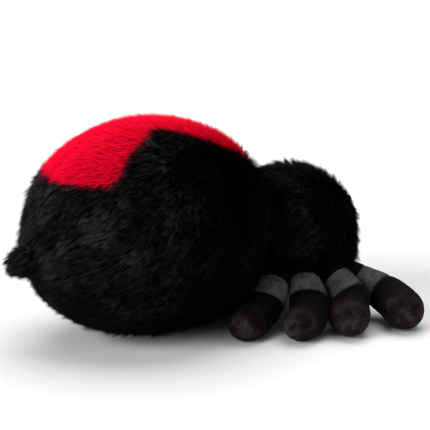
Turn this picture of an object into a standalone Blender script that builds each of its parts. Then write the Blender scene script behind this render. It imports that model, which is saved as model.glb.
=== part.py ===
"""A plush toy in the shape of a black widow spider, resting on its belly and eight feet.

Metres, +Z up. The toy faces +X, its left side is +Y, and it rests on Z = 0.
The origin is on the floor, under the middle of the whole toy.
"""
import math
import random

import bmesh
import bpy
from mathutils import Matrix, Vector

TOY = "black_widow_plush"
GAP = 0.0003
SOCKET_GAP = 0.0004

# The ball of the abdomen, out to the tips of its fur
ABDOMEN_AT = Vector((-0.0300, 0.0, 0.0667))
ABDOMEN_HALF = Vector((0.0784, 0.0666, 0.0667))
ABDOMEN_LEAN = 0.0018
ABDOMEN_SAG = 2.50

# The ball of the head, which is sewn to the front of the abdomen
HEAD_AT = Vector((0.0730, 0.0, 0.0540))
HEAD_HALF = Vector((0.0436, 0.0434, 0.0420))
HEAD_LEAN = -0.0018
HEAD_SAG = 4.5
SEAM_X = 0.0405

# The nub of the spinnerets at the rear
NUB_AT = Vector((-0.1035, 0.0, 0.0545))
NUB_HALF = Vector((0.0200, 0.0125, 0.0115))
NUB_DROP = math.radians(10.0)

# Fur: how far its backing lies under the tips, and how deep a lock is rooted in the backing
PILE = 0.0030
NUB_PILE = 0.0022
LOCK_ROOT = 0.0030

# A lock from its root to its tip: part of its length, part of the pile that it has risen to,
# and its width and thickness as parts of its greatest ones
LOCK_SHAPE = ((0.34, 0.35, 1.0, 1.0), (0.72, 0.90, 0.75, 0.75), (1.0, 1.0, 0.12, 0.25))
LOCK_ROOT_WIDTH = 0.6

# Locks of each ball: how many, their length, width and thickness, and the mesh under them
ABDOMEN_LOCKS = 108
ABDOMEN_LOCK_SIZE = (0.0330, 0.0210, 0.0044)
ABDOMEN_CORE_MESH = (22, 13)
HEAD_LOCKS = 50
HEAD_LOCK_SIZE = (0.0260, 0.0170, 0.0038)
HEAD_CORE_MESH = (18, 11)
NUB_LOCKS = 9
NUB_LOCK_SIZE = (0.0150, 0.0110, 0.0028)
NUB_CORE_MESH = (12, 8)
LIE = Vector((-1.0, 0.0, -0.55))
FACE_HALF_ANGLE = 20.0
FACE_LOW = -18.0
FACE_HIGH = 34.0

# The red panel on the back: half its width along the abdomen, and the reach of its two ends
PANEL_DEPTH = 0.0100
PANEL_REAR_CORNER = -0.0410
PANEL_REAR_REACH = 0.0230
PANEL_REAR_HALF = 0.0400
PANEL_WAIST_AT = -0.0050
PANEL_WAIST_HALF = 0.0180
PANEL_FRONT_WIDE_AT = 0.0280
PANEL_FRONT_CORNER = 0.0500
PANEL_FRONT_REACH = 0.0060
PANEL_FRONT_HALF = 0.0305
PANEL_FLARE = 0.95
PANEL_STEPS = 7
PANEL_END_STEPS = 4

# Legs, from the rear pair to the front pair: angle from the way the toy faces, radius from the
# middle of the head, and height, at the root and both ends of the grey band
LEG_PATHS = {
    4: (
        (134.0, 0.0310, 0.0300),
        (137.0, 0.0436, 0.0270),
        (139.5, 0.0568, 0.0190),
    ),
    3: (
        (107.5, 0.0310, 0.0300),
        (108.9, 0.0400, 0.0268),
        (109.8, 0.0502, 0.0188),
    ),
    2: (
        (80.5, 0.0310, 0.0300),
        (77.8, 0.0416, 0.0265),
        (79.5, 0.0505, 0.0186),
    ),
    1: (
        (53.5, 0.0310, 0.0300),
        (53.0, 0.0440, 0.0235),
        (53.4, 0.0600, 0.0170),
    ),
}

# Balls of the feet, which rest on the floor: angle, radius, and size beside LEG_HALVES
FEET = {
    4: (142.1, 0.0796, 0.95),
    3: (117.5, 0.0740, 0.93),
    2: (92.5, 0.0712, 0.99),
    1: (64.0, 0.0815, 1.04),
}

# A leg's band, its half width at parts of its length, and how its foot is rounded off
BAND_FROM = 0.20
BAND_TO = 0.50
LEG_STATIONS = (0.0, BAND_FROM, BAND_TO, 1.0)
LEG_HALVES = ((0.0, 0.0062), (BAND_FROM, 0.0086), (BAND_TO, 0.0118), (0.80, 0.0124), (1.0, 0.0119))
LEG_FLATNESS = 0.93
LEG_SIDES = 16
FOOT_SWELL = 0.30
FOOT_CLEARANCE = 0.0002
TOE_LENGTH = 1.1
TOE_TURNS = (20.0, 40.0, 58.0, 74.0)

# Glossy eyes of one side: height angle, side angle and radius
EYES = {
    "upper_outer": (22.0, 15.0, 0.0026),
    "upper_inner": (24.0, 5.5, 0.0026),
    "lower_outer": (8.0, 17.8, 0.0028),
    "lower_inner": (10.0, 6.8, 0.0042),
}
EYE_SINK = 0.40

# Velour fangs under the eyes, and their width at parts of their length
FANG_ANGLE = 7.5
FANG_TOP = Vector((0.0335, 0.0, 0.0290))
FANG_TIP = Vector((0.0400, 0.0, 0.0130))
FANG_ROOT_RADIUS = 0.0044
FANG_TIP_RADIUS = 0.0022
FANG_SHAPE = ((0.0, 1.0), (0.4, 0.9), (0.8, 0.6), (1.0, 0.15))
FANG_SIDES = 10


def clear_scene():
    """Remove whatever objects the scene starts with."""
    for old in list(bpy.data.objects):
        bpy.data.objects.remove(old, do_unlink=True)


def make_collection(name):
    """Return a new collection linked to the scene."""
    made = bpy.data.collections.new(name)
    bpy.context.scene.collection.children.link(made)
    return made


def make_material(name, colour, roughness):
    """Return a Principled material of one colour."""
    made = bpy.data.materials.new(name)
    made.use_nodes = True
    shader = made.node_tree.nodes["Principled BSDF"]
    shader.inputs["Base Color"].default_value = (*colour, 1.0)
    shader.inputs["Roughness"].default_value = roughness
    shader.inputs["Metallic"].default_value = 0.0
    made.diffuse_color = (*colour, 1.0)
    return made


def object_from(bm, name, collection, material=None):
    """Turn a bmesh into an object with its faces pointing out."""
    bmesh.ops.recalc_face_normals(bm, faces=bm.faces)
    mesh = bpy.data.meshes.new(name)
    bm.to_mesh(mesh)
    bm.free()
    mesh.shade_smooth()
    mesh.set_sharp_from_angle(angle=math.radians(50.0))
    made = bpy.data.objects.new(name, mesh)
    collection.objects.link(made)
    if material:
        mesh.materials.append(material)
    else:
        made.hide_render = True
        made.display_type = "WIRE"
    return made


def ball_point(way, half, lean, sag):
    """Return the point of a stuffed ball that lies in the direction of a unit vector.

    Its upper half is an ellipsoid, and its lower half is fuller where sag is above 2.
    """
    power = sag if way.z < 0.0 else 2.0
    level = max(1.0 - way.z * way.z, 1e-9)
    full = math.sqrt(max(1.0 - abs(way.z) ** power, 0.0) / level)
    return Vector((half.x * way.x * full + lean * way.z, half.y * way.y * full, half.z * way.z))


def make_ball(name, collection, material, at, half, lean, sag, grown=0.0, segments=44, rings=26):
    """Make a stuffed ball from a sphere, grown outwards by a set thickness."""
    bm = bmesh.new()
    bmesh.ops.create_uvsphere(bm, u_segments=segments, v_segments=rings, radius=1.0)
    size = half + Vector((grown, grown, grown))
    for vert in bm.verts:
        vert.co = at + ball_point(vert.co.normalized(), size, lean, sag)
    return object_from(bm, name, collection, material)


def make_coated_ball(name, collection, material, ball, pile, locks, size, seed, mesh, bare=None):
    """Make a stuffed ball whose fur is a coat of flat, tapered locks along its lie."""
    at, half, lean, sag = ball
    core = make_ball(name, collection, material, at, half, lean, sag, -pile, *mesh)
    coat = make_collection(f"{name}_coat")
    dice = random.Random(seed)
    golden = math.pi * (3.0 - math.sqrt(5.0))
    for k in range(locks):
        level = 1.0 - 2.0 * (k + 0.5) / locks
        turn = golden * k + dice.uniform(-0.12, 0.12)
        wide = math.sqrt(1.0 - level * level)
        root = Vector((wide * math.cos(turn), wide * math.sin(turn), level))
        if bare and bare(root):
            continue
        stretch = dice.uniform(0.85, 1.15)
        swing = dice.uniform(-0.35, 0.35)
        rings = lock_rings(root, ball, pile, [value * stretch for value in size], swing)
        loft(f"{name}_lock", coat, None, rings)
    boolean(core, coat, "UNION", "MANIFOLD")
    for lock in list(coat.objects):
        bpy.data.objects.remove(lock, do_unlink=True)
    keep_largest(core)
    return core


def lock_rings(root, ball, pile, size, swing):
    """Return the rings of a flat lock that is rooted in a ball and bends over it along its lie."""
    at, half, lean, sag = ball
    length, width, thickness = size
    lie = (LIE - root * LIE.dot(root)).normalized()
    lie = Matrix.Rotation(swing, 3, root) @ lie
    side = root.cross(lie)
    reach = length / (sum(half) / 3.0)
    rings = []
    shape = [(part, pile * risen, wide, thick) for part, risen, wide, thick in LOCK_SHAPE]
    for part, height, wide, thick in [(0.0, -LOCK_ROOT, LOCK_ROOT_WIDTH, 1.0), *shape]:
        way = (root * math.cos(reach * part) + lie * math.sin(reach * part)).normalized()
        size_here = half + Vector((1.0, 1.0, 1.0)) * (height - pile)
        centre = at + ball_point(way, size_here, lean, sag)
        across = side * (width * wide / 2.0)
        over = way * (thickness * thick / 2.0)
        rings.append([centre - across - over, centre + across - over, centre + over])
    return rings


def keep_largest(target):
    """Keep only the largest closed surface of an object's mesh."""
    bm = bmesh.new()
    bm.from_mesh(target.data)
    left = set(bm.verts)
    groups = []
    while left:
        start = left.pop()
        group = {start}
        edge = [start]
        while edge:
            vert = edge.pop()
            for link in vert.link_edges:
                other = link.other_vert(vert)
                if other not in group:
                    group.add(other)
                    edge.append(other)
        left -= group
        groups.append(group)
    groups.sort(key=len)
    spare = [vert for group in groups[:-1] for vert in group]
    bmesh.ops.delete(bm, geom=spare, context="VERTS")
    bm.to_mesh(target.data)
    bm.free()


def make_block(name, collection, low, high):
    """Make a box between two corners."""
    bm = bmesh.new()
    bmesh.ops.create_cube(bm, size=1.0)
    size = high - low
    bmesh.ops.transform(bm, matrix=Matrix.Diagonal((*size, 1.0)), verts=bm.verts)
    bmesh.ops.translate(bm, vec=(low + high) / 2.0, verts=bm.verts)
    return object_from(bm, name, collection)


def loft(name, collection, material, rings):
    """Skin a row of closed rings of points and cap its two ends."""
    bm = bmesh.new()
    rows = [[bm.verts.new(point) for point in ring] for ring in rings]
    count = len(rows[0])
    for row, after in zip(rows, rows[1:]):
        for k in range(count):
            bm.faces.new((row[k], row[(k + 1) % count], after[(k + 1) % count], after[k]))
    bm.faces.new(list(reversed(rows[0])))
    bm.faces.new(rows[-1])
    return object_from(bm, name, collection, material)


def boolean(target, cutter, operation, solver="EXACT"):
    """Cut, join or intersect an object with another object or a collection, and apply it."""
    tool = target.modifiers.new("shape", "BOOLEAN")
    tool.operation = operation
    tool.solver = solver
    if isinstance(cutter, bpy.types.Collection):
        tool.operand_type = "COLLECTION"
        tool.collection = cutter
    else:
        tool.object = cutter
    apply_modifiers(target)


def apply_modifiers(target):
    """Replace an object's mesh by what its modifiers make of it."""
    view = bpy.context.view_layer
    view.update()
    result = bpy.data.meshes.new_from_object(target.evaluated_get(view.depsgraph))
    result.name = target.name
    target.modifiers.clear()
    target.data = result


def panel_half_width(x):
    """Return half the width of the red panel at a distance along the abdomen."""
    if x < PANEL_WAIST_AT:
        part = (PANEL_WAIST_AT - x) / (PANEL_WAIST_AT - PANEL_REAR_CORNER)
        return PANEL_WAIST_HALF + (PANEL_REAR_HALF - PANEL_WAIST_HALF) * part ** PANEL_FLARE
    part = min((x - PANEL_WAIST_AT) / (PANEL_FRONT_WIDE_AT - PANEL_WAIST_AT), 1.0)
    return PANEL_WAIST_HALF + (PANEL_FRONT_HALF - PANEL_WAIST_HALF) * part * part * (3.0 - 2.0 * part)


def panel_outline(grown):
    """Return the outline of the hourglass panel seen from above, round the abdomen's middle."""
    side = []
    for k in range(PANEL_STEPS + 1):
        x = PANEL_REAR_CORNER + (PANEL_WAIST_AT - PANEL_REAR_CORNER) * k / PANEL_STEPS
        side.append((x, panel_half_width(x) + grown))
    for k in range(1, PANEL_STEPS + 1):
        x = PANEL_WAIST_AT + (PANEL_FRONT_CORNER - PANEL_WAIST_AT) * k / PANEL_STEPS
        side.append((x, panel_half_width(x) + grown))
    front = []
    rear = []
    for k in range(-PANEL_END_STEPS + 1, PANEL_END_STEPS):
        across = k / PANEL_END_STEPS
        bow = 1.0 - abs(across) ** 3
        front.append((PANEL_FRONT_CORNER + PANEL_FRONT_REACH * bow + grown, -across * PANEL_FRONT_HALF))
        rear.append((PANEL_REAR_CORNER - PANEL_REAR_REACH * bow - grown, across * PANEL_REAR_HALF))
    return side + front + [(x, -y) for x, y in reversed(side)] + rear


def make_panel_block(name, collection, grown):
    """Stand the hourglass outline up as a prism through the top of the abdomen."""
    low = ABDOMEN_AT.z
    high = ABDOMEN_AT.z + 2.0 * ABDOMEN_HALF.z
    outline = panel_outline(grown)
    rings = [[(ABDOMEN_AT.x + x, y, z) for x, y in outline] for z in (low, high)]
    return loft(name, collection, None, rings)


def round_section(centre, along, half, sides, flatness):
    """Return a ring of points, wider than high, square to a direction."""
    across = along.cross(Vector((0.0, 0.0, 1.0))).normalized()
    over = across.cross(along).normalized()
    ring = []
    for k in range(sides):
        turn = 2.0 * math.pi * k / sides
        wide = half * math.cos(turn)
        high = half * flatness * math.sin(turn)
        ring.append(centre + across * wide + over * high)
    return ring


def leg_points(number, side):
    """Return a leg's root, the two ends of its band and its foot in the toy's frame."""
    angle, radius, size = FEET[number]
    foot = (angle, radius, LEG_HALVES[-1][1] * size * LEG_FLATNESS + FOOT_CLEARANCE)
    points = []
    for angle, radius, height in (*LEG_PATHS[number], foot):
        turn = math.radians(angle)
        across = side * radius * math.sin(turn)
        points.append(Vector((HEAD_AT.x + radius * math.cos(turn), across, height)))
    return points


def leg_place(points, part):
    """Return a point of a leg's middle line, which curves smoothly through its four points."""
    at = Vector((0.0, 0.0, 0.0))
    for point, own in zip(points, LEG_STATIONS):
        weight = 1.0
        for other in LEG_STATIONS:
            if other != own:
                weight *= (part - other) / (own - other)
        at += point * weight
    return at


def leg_centre(points, part):
    """Return the point and the direction of a leg's middle line, from 0 at its root to 1."""
    step = 0.01
    along = leg_place(points, part + step) - leg_place(points, part - step)
    return leg_place(points, part), along.normalized()


def leg_half(part, foot_size):
    """Return half the width of a leg at a part of its length."""
    size = 1.0 + (foot_size - 1.0) * min(max((part - BAND_TO) / FOOT_SWELL, 0.0), 1.0)
    for (low, first), (high, last) in zip(LEG_HALVES, LEG_HALVES[1:]):
        if part <= high:
            return (first + (last - first) * max(part - low, 0.0) / (high - low)) * size
    return LEG_HALVES[-1][1] * size


def leg_rings(points, foot_size, start, end, grown=0.0, steps=3):
    """Return the rings of one stretch of a leg."""
    rings = []
    for k in range(steps + 1):
        part = start + (end - start) * k / steps
        at, along = leg_centre(points, part)
        half = leg_half(part, foot_size) + grown
        rings.append(round_section(at, along, half, LEG_SIDES, LEG_FLATNESS))
    return rings


def foot_rings(points, foot_size, start, grown=0.0):
    """Return the rings of a foot: the last stretch of the leg, rounded off at its tip."""
    rings = leg_rings(points, foot_size, start, 1.0, grown)
    at, along = leg_centre(points, 1.0)
    half = leg_half(1.0, foot_size) + grown
    for degrees in TOE_TURNS:
        turn = math.radians(degrees)
        centre = at + along * (half * TOE_LENGTH * math.sin(turn))
        rings.append(round_section(centre, along, half * math.cos(turn), LEG_SIDES, LEG_FLATNESS))
    return rings


def make_leg(number, side, side_name, parts, cutters, paint):
    """Make one leg in three sewn lengths, and return its foot and the shape of the whole leg."""
    points = leg_points(number, side)
    size = FEET[number][2]
    seam = GAP / (points[-1] - points[0]).length
    upper = (0.0, BAND_FROM - seam)
    band = (BAND_FROM, BAND_TO)
    foot_from = BAND_TO + seam
    stem = f"leg_{side_name}_{number}"
    loft(f"{stem}_upper", parts, paint["velour"], leg_rings(points, size, *upper))
    loft(f"{stem}_band", parts, paint["band"], leg_rings(points, size, *band))
    foot = loft(f"{stem}_foot", parts, paint["velour"], foot_rings(points, size, foot_from))
    whole = leg_rings(points, size, -2.0 * seam, 0.0, SOCKET_GAP, 1)[:1]
    whole += leg_rings(points, size, *upper, SOCKET_GAP)
    whole += leg_rings(points, size, *band, SOCKET_GAP)
    whole += foot_rings(points, size, foot_from, SOCKET_GAP)
    return foot, loft(f"{stem}_socket", cutters, None, whole)


def face_point(height_angle, side_angle, depth):
    """Return a point under the face's backing, from two angles in degrees."""
    up = math.radians(height_angle)
    turn = math.radians(side_angle)
    way = Vector((math.cos(up) * math.cos(turn), math.cos(up) * math.sin(turn), math.sin(up)))
    half = HEAD_HALF - Vector((1.0, 1.0, 1.0)) * (PILE + depth)
    return HEAD_AT + ball_point(way, half, HEAD_LEAN, HEAD_SAG)


def on_face(way):
    """Tell whether a direction from the head's middle meets the trimmed face."""
    up = math.degrees(math.asin(way.z))
    turn = math.degrees(math.atan2(way.y, way.x))
    return abs(turn) < FACE_HALF_ANGLE and FACE_LOW < up < FACE_HIGH


def make_sphere(name, collection, material, at, radius, segments=10, rings=6):
    """Make a small round bead."""
    bm = bmesh.new()
    bmesh.ops.create_uvsphere(bm, u_segments=segments, v_segments=rings, radius=radius)
    bmesh.ops.translate(bm, vec=at, verts=bm.verts)
    return object_from(bm, name, collection, material)


def make_face(head, parts, cutters, paint):
    """Set the eyes and fangs into the front of the head."""
    for side, side_name in ((1.0, "left"), (-1.0, "right")):
        for place, (up, turn, radius) in EYES.items():
            at = face_point(up, side * turn, radius * EYE_SINK)
            make_sphere(f"eye_{side_name}_{place}", parts, paint["eye"], at, radius)
            socket = make_sphere("eye_socket", cutters, None, at, radius + GAP)
            boolean(head, socket, "DIFFERENCE", "MANIFOLD")
        spin = Matrix.Rotation(side * math.radians(FANG_ANGLE), 3, "Z")
        made = (("", 0.0, parts, paint["band"]), ("_socket", GAP, cutters, None))
        for name, grown, where, finish in made:
            top = Vector((HEAD_AT.x, 0.0, 0.0)) + spin @ FANG_TOP
            tip = Vector((HEAD_AT.x, 0.0, 0.0)) + spin @ FANG_TIP
            along = (tip - top).normalized()
            rings = []
            for part, wide in FANG_SHAPE:
                half = FANG_TIP_RADIUS + (FANG_ROOT_RADIUS - FANG_TIP_RADIUS) * (1.0 - part)
                at = top + (tip - top) * part
                rings.append(round_section(at, along, half * wide + grown, FANG_SIDES, 1.0))
            fang = loft(f"fang_{side_name}{name}", where, finish, rings)
            if name:
                boolean(head, fang, "DIFFERENCE", "MANIFOLD")


def make_nub(parts, cutters, fur, abdomen_ball):
    """Make the stubby nub at the rear, and return it with the hole that it needs in the fur."""
    place = Matrix.Translation(NUB_AT) @ Matrix.Rotation(-NUB_DROP, 4, "Y")
    ball = (Vector((0.0, 0.0, 0.0)), NUB_HALF, 0.0, 2.0)
    coat = (NUB_PILE, NUB_LOCKS, NUB_LOCK_SIZE, 5, NUB_CORE_MESH)
    nub = make_coated_ball("spinnerets", parts, fur, ball, *coat)
    hole = make_ball("nub_hole", cutters, None, *ball, GAP, 20, 12)
    for shape in (nub, hole):
        shape.data.transform(place)
    seat = make_ball("nub_seat", cutters, None, *abdomen_ball, GAP - PILE, *ABDOMEN_CORE_MESH)
    boolean(nub, seat, "DIFFERENCE", "MANIFOLD")
    inner = make_ball("nub_core", cutters, None, *abdomen_ball, -PILE, *ABDOMEN_CORE_MESH)
    boolean(hole, inner, "DIFFERENCE")
    keep_largest(nub)
    return hole


def main():
    """Build the toy."""
    clear_scene()
    parts = make_collection(TOY)
    cutters = make_collection("cutters")
    paint = {
        "fur_black": make_material("fur_black", (0.006, 0.005, 0.007), 0.9),
        "fur_red": make_material("fur_red", (0.76, 0.004, 0.025), 0.9),
        "band": make_material("band_grey", (0.045, 0.045, 0.048), 0.95),
        "velour": make_material("velour_dark", (0.009, 0.005, 0.007), 0.85),
        "eye": make_material("eye_black", (0.004, 0.004, 0.004), 0.12),
    }

    floor = make_block("floor_cut", cutters, Vector((-0.3, -0.3, -0.1)), Vector((0.3, 0.3, 0.0)))
    seam_front = Vector((SEAM_X - GAP / 2, -0.2, -0.1))
    ahead = make_block("ahead_cut", cutters, seam_front, Vector((0.4, 0.2, 0.3)))
    seam_back = Vector((SEAM_X + GAP / 2, 0.2, 0.3))
    behind = make_block("behind_cut", cutters, Vector((-0.4, -0.2, -0.1)), seam_back)

    ball = (ABDOMEN_AT, ABDOMEN_HALF, ABDOMEN_LEAN, ABDOMEN_SAG)
    coat = (PILE, ABDOMEN_LOCKS, ABDOMEN_LOCK_SIZE, 11, ABDOMEN_CORE_MESH)
    abdomen = make_coated_ball("abdomen", parts, paint["fur_black"], ball, *coat)
    hourglass = abdomen.copy()
    hourglass.name = "hourglass"
    hourglass.data = abdomen.data.copy()
    hourglass.data.materials.clear()
    hourglass.data.materials.append(paint["fur_red"])
    parts.objects.link(hourglass)

    pocket = make_panel_block("pocket_cut", cutters, GAP / 2)
    boolean(pocket, make_ball("pocket_floor", cutters, None, *ball, -PANEL_DEPTH), "DIFFERENCE")
    boolean(hourglass, make_panel_block("panel_cut", cutters, -GAP / 2), "INTERSECT", "MANIFOLD")
    panel_floor = make_ball("panel_floor", cutters, None, *ball, GAP - PANEL_DEPTH)
    boolean(hourglass, panel_floor, "DIFFERENCE", "MANIFOLD")
    keep_largest(hourglass)
    for cutter in (pocket, floor, ahead, make_nub(parts, cutters, paint["fur_black"], ball)):
        boolean(abdomen, cutter, "DIFFERENCE", "MANIFOLD")

    ball = (HEAD_AT, HEAD_HALF, HEAD_LEAN, HEAD_SAG)
    coat = (PILE, HEAD_LOCKS, HEAD_LOCK_SIZE, 23, HEAD_CORE_MESH, on_face)
    head = make_coated_ball("head", parts, paint["fur_black"], ball, *coat)
    boolean(head, behind, "DIFFERENCE", "MANIFOLD")
    for side, side_name in ((1.0, "left"), (-1.0, "right")):
        for number in LEG_PATHS:
            foot, socket = make_leg(number, side, side_name, parts, cutters, paint)
            boolean(foot, floor, "DIFFERENCE")
            boolean(head, socket, "DIFFERENCE", "MANIFOLD")
            boolean(abdomen, socket, "DIFFERENCE", "MANIFOLD")
    make_face(head, parts, cutters, paint)
    for furry in (abdomen, head):
        keep_largest(furry)


main()
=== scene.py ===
"""The looks of a plush toy black widow spider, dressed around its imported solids."""

import logging
import math
from dataclasses import dataclass
from enum import Enum, IntEnum

import bpy
import numpy as np
from mathutils import Matrix, Vector, kdtree


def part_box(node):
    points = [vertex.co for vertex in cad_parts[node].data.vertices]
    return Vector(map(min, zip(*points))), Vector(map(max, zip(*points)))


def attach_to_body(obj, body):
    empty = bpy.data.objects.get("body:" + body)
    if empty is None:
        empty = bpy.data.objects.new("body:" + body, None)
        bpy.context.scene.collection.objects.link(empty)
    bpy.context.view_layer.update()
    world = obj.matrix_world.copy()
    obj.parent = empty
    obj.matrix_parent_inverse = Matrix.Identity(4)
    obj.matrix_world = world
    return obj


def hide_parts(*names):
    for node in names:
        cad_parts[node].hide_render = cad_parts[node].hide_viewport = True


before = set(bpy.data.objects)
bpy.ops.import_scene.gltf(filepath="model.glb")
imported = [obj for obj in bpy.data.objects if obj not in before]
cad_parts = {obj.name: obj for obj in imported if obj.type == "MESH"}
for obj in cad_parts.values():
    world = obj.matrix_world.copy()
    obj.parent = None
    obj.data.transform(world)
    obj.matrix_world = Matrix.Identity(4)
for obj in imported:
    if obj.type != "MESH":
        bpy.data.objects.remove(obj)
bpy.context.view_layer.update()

BODY = "root"
MM = 0.001
TINY = 1e-9
UP = np.array([0.0, 0.0, 1.0])
GOLDEN_TURN = math.pi * (3.0 - math.sqrt(5.0))
FLOOR_GAP = 0.05 * MM
NECK_X = 0.0405
BAKE_MAP = "OFBake"
TUFT_PATCH = 0.003

Colour = tuple[float, float, float]
Place = tuple[float, float, float]
Span = tuple[float, float]

log = logging.getLogger("toy")


class Slot(Enum):
    """The material slots of the toy."""

    FUR_BLACK = "fur_black"
    FUR_RED = "fur_red"
    VELOUR_GREY = "velour_grey"
    VELOUR_DARK = "velour_dark"
    EYE_BLACK = "eye_black"


class Side(Enum):
    """The toy's two sides, as the sign of Y."""

    LEFT = 1.0
    RIGHT = -1.0


class Draw(IntEnum):
    """What is added to a ball's seed for each of its further random draws."""

    SWIRL = 1
    SWELL = 2
    FRINGE = 7
    LUMPS = 40


def unit(rows: np.ndarray) -> np.ndarray:
    """Scale each row of vectors to length 1."""
    return rows / np.maximum(np.linalg.norm(rows, axis=-1, keepdims=True), TINY)


def circle(count: int) -> np.ndarray:
    """Return evenly spaced angles round a full turn, in radians."""
    return np.arange(count) * 2.0 * math.pi / count


def smooth_step(low: float, high: float, value: np.ndarray) -> np.ndarray:
    """Rise smoothly from 0 at low to 1 at high.

    Args:
        low: Where the rise starts.
        high: Where it ends; it may be below low.
        value: The values to map.

    Returns:
        Numbers from 0 to 1.
    """
    part = np.clip((value - low) / (high - low), 0.0, 1.0)
    return part * part * (3.0 - 2.0 * part)


def hump(value: np.ndarray, width: float) -> np.ndarray:
    """Return a smooth hump, 1 where the value is 0 and nearly 0 two widths away."""
    return np.exp(-((value / width) ** 2))


def ripple(points: np.ndarray, waves: float, seed: int, count: int = 7) -> np.ndarray:
    """Make smooth, seeded noise as a sum of sine waves.

    Args:
        points: Rows of coordinates.
        waves: Waves for each unit of length.
        seed: The draw of wave directions.
        count: How many waves are added.

    Returns:
        One number a row, mostly between -1 and 1.
    """
    dice = np.random.default_rng(seed)
    total = np.zeros(len(points))
    for _ in range(count):
        way = unit(dice.normal(size=3)) * waves * 2.0 * math.pi * dice.uniform(0.6, 1.4)
        total += np.sin(points @ way + dice.uniform(0.0, 2.0 * math.pi))
    return total / math.sqrt(count)


def spread_ways(count: int, jitter: float, dice: np.random.Generator) -> np.ndarray:
    """Spread directions evenly over a sphere.

    Args:
        count: How many directions.
        jitter: How far each strays, as a part of the spacing.
        dice: The random draw.

    Returns:
        Rows of unit vectors.
    """
    step = np.arange(count) + 0.5
    level = 1.0 - 2.0 * step / count
    wide = np.sqrt(1.0 - level * level)
    turn = GOLDEN_TURN * step
    ways = np.stack([wide * np.cos(turn), wide * np.sin(turn), level], 1)
    return unit(ways + dice.normal(size=ways.shape) * jitter * math.sqrt(4.0 * math.pi / count))


def make_mesh(name: str, points: np.ndarray, faces: list[np.ndarray]) -> bpy.types.Object:
    """Make a smooth-shaded mesh object from arrays.

    Args:
        name: The object's name.
        points: Rows of vertex coordinates.
        faces: Arrays of vertex numbers, each array with one number of corners a face.

    Returns:
        The new object, linked to the scene.
    """
    mesh = bpy.data.meshes.new(name)
    mesh.vertices.add(len(points))
    mesh.vertices.foreach_set("co", points.astype(np.float32).ravel())
    corners = np.concatenate([block.ravel() for block in faces])
    sizes = np.concatenate([np.full(len(block), block.shape[1]) for block in faces])
    mesh.loops.add(len(corners))
    mesh.loops.foreach_set("vertex_index", corners.astype(np.int32))
    mesh.polygons.add(len(sizes))
    starts = np.concatenate([[0], np.cumsum(sizes)[:-1]])
    mesh.polygons.foreach_set("loop_start", starts.astype(np.int32))
    mesh.update(calc_edges=True)
    mesh.shade_smooth()
    made = bpy.data.objects.new(name, mesh)
    bpy.context.scene.collection.objects.link(made)
    return made


def add_numbers(piece: bpy.types.Object, name: str, values: np.ndarray) -> None:
    """Store one number a vertex for the shaders to read."""
    made = piece.data.attributes.new(name, "FLOAT", "POINT")
    made.data.foreach_set("value", values.astype(np.float32).ravel())


def tube_points(rings: list[np.ndarray]) -> np.ndarray:
    """Join rings of points, add the middles of the first and last, and keep all above the floor."""
    points = np.concatenate([*rings, [rings[0].mean(0)], [rings[-1].mean(0)]])
    points[:, 2] = np.maximum(points[:, 2], FLOOR_GAP)
    return points


def tube_faces(rows: int, around: int) -> list[np.ndarray]:
    """Return the faces of a closed tube, pointing out.

    Args:
        rows: How many rings it has.
        around: How many points each ring has.

    Returns:
        The quads between the rings, and the triangles to each end's middle point. The two
        middle points are numbered after those of the rings.
    """
    row, column = np.meshgrid(np.arange(rows - 1), np.arange(around), indexing="ij")
    start, after = row * around, (column + 1) % around
    corners = (start + column, start + around + column, start + around + after, start + after)
    quads = np.stack(corners, 2).reshape(-1, 4)
    ring = np.arange(around)
    following = (ring + 1) % around
    last = (rows - 1) * around
    first_cap = np.stack([np.full(around, rows * around), ring, following], 1)
    last_cap = np.stack([np.full(around, rows * around + 1), last + following, last + ring], 1)
    return [quads, first_cap, last_cap]


def attach(
    piece: bpy.types.Object, finish: bpy.types.Material, node: str = ""
) -> None:
    """Dress a piece and tie it to the frame.

    Args:
        piece: The piece.
        finish: Its material.
        node: The solid that it stands for, if any.
    """
    piece.data.materials.append(finish)
    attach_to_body(piece, BODY)
    if node:
        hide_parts(node)


class Link:
    """A shader socket that can stand in an expression."""

    def __init__(self, graph: "Graph", socket: bpy.types.NodeSocket) -> None:
        """Wrap an output socket of a graph."""
        self.graph = graph
        self.socket = socket

    def math(self, operation: str, first: object, second: object) -> "Link":
        """Add a Math node on two values or links."""
        return self.graph.node("ShaderNodeMath", {"operation": operation}, {0: first, 1: second})

    def __add__(self, other: object) -> "Link":
        """Return this plus other."""
        return self.math("ADD", self, other)

    __radd__ = __add__

    def __mul__(self, other: object) -> "Link":
        """Return this times other."""
        return self.math("MULTIPLY", self, other)

    __rmul__ = __mul__

    def __sub__(self, other: object) -> "Link":
        """Return this minus other."""
        return self.math("SUBTRACT", self, other)

    def __rsub__(self, other: object) -> "Link":
        """Return other minus this."""
        return self.math("SUBTRACT", other, self)

    def __pow__(self, other: object) -> "Link":
        """Return this to the power of other."""
        return self.math("POWER", self, other)


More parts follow.
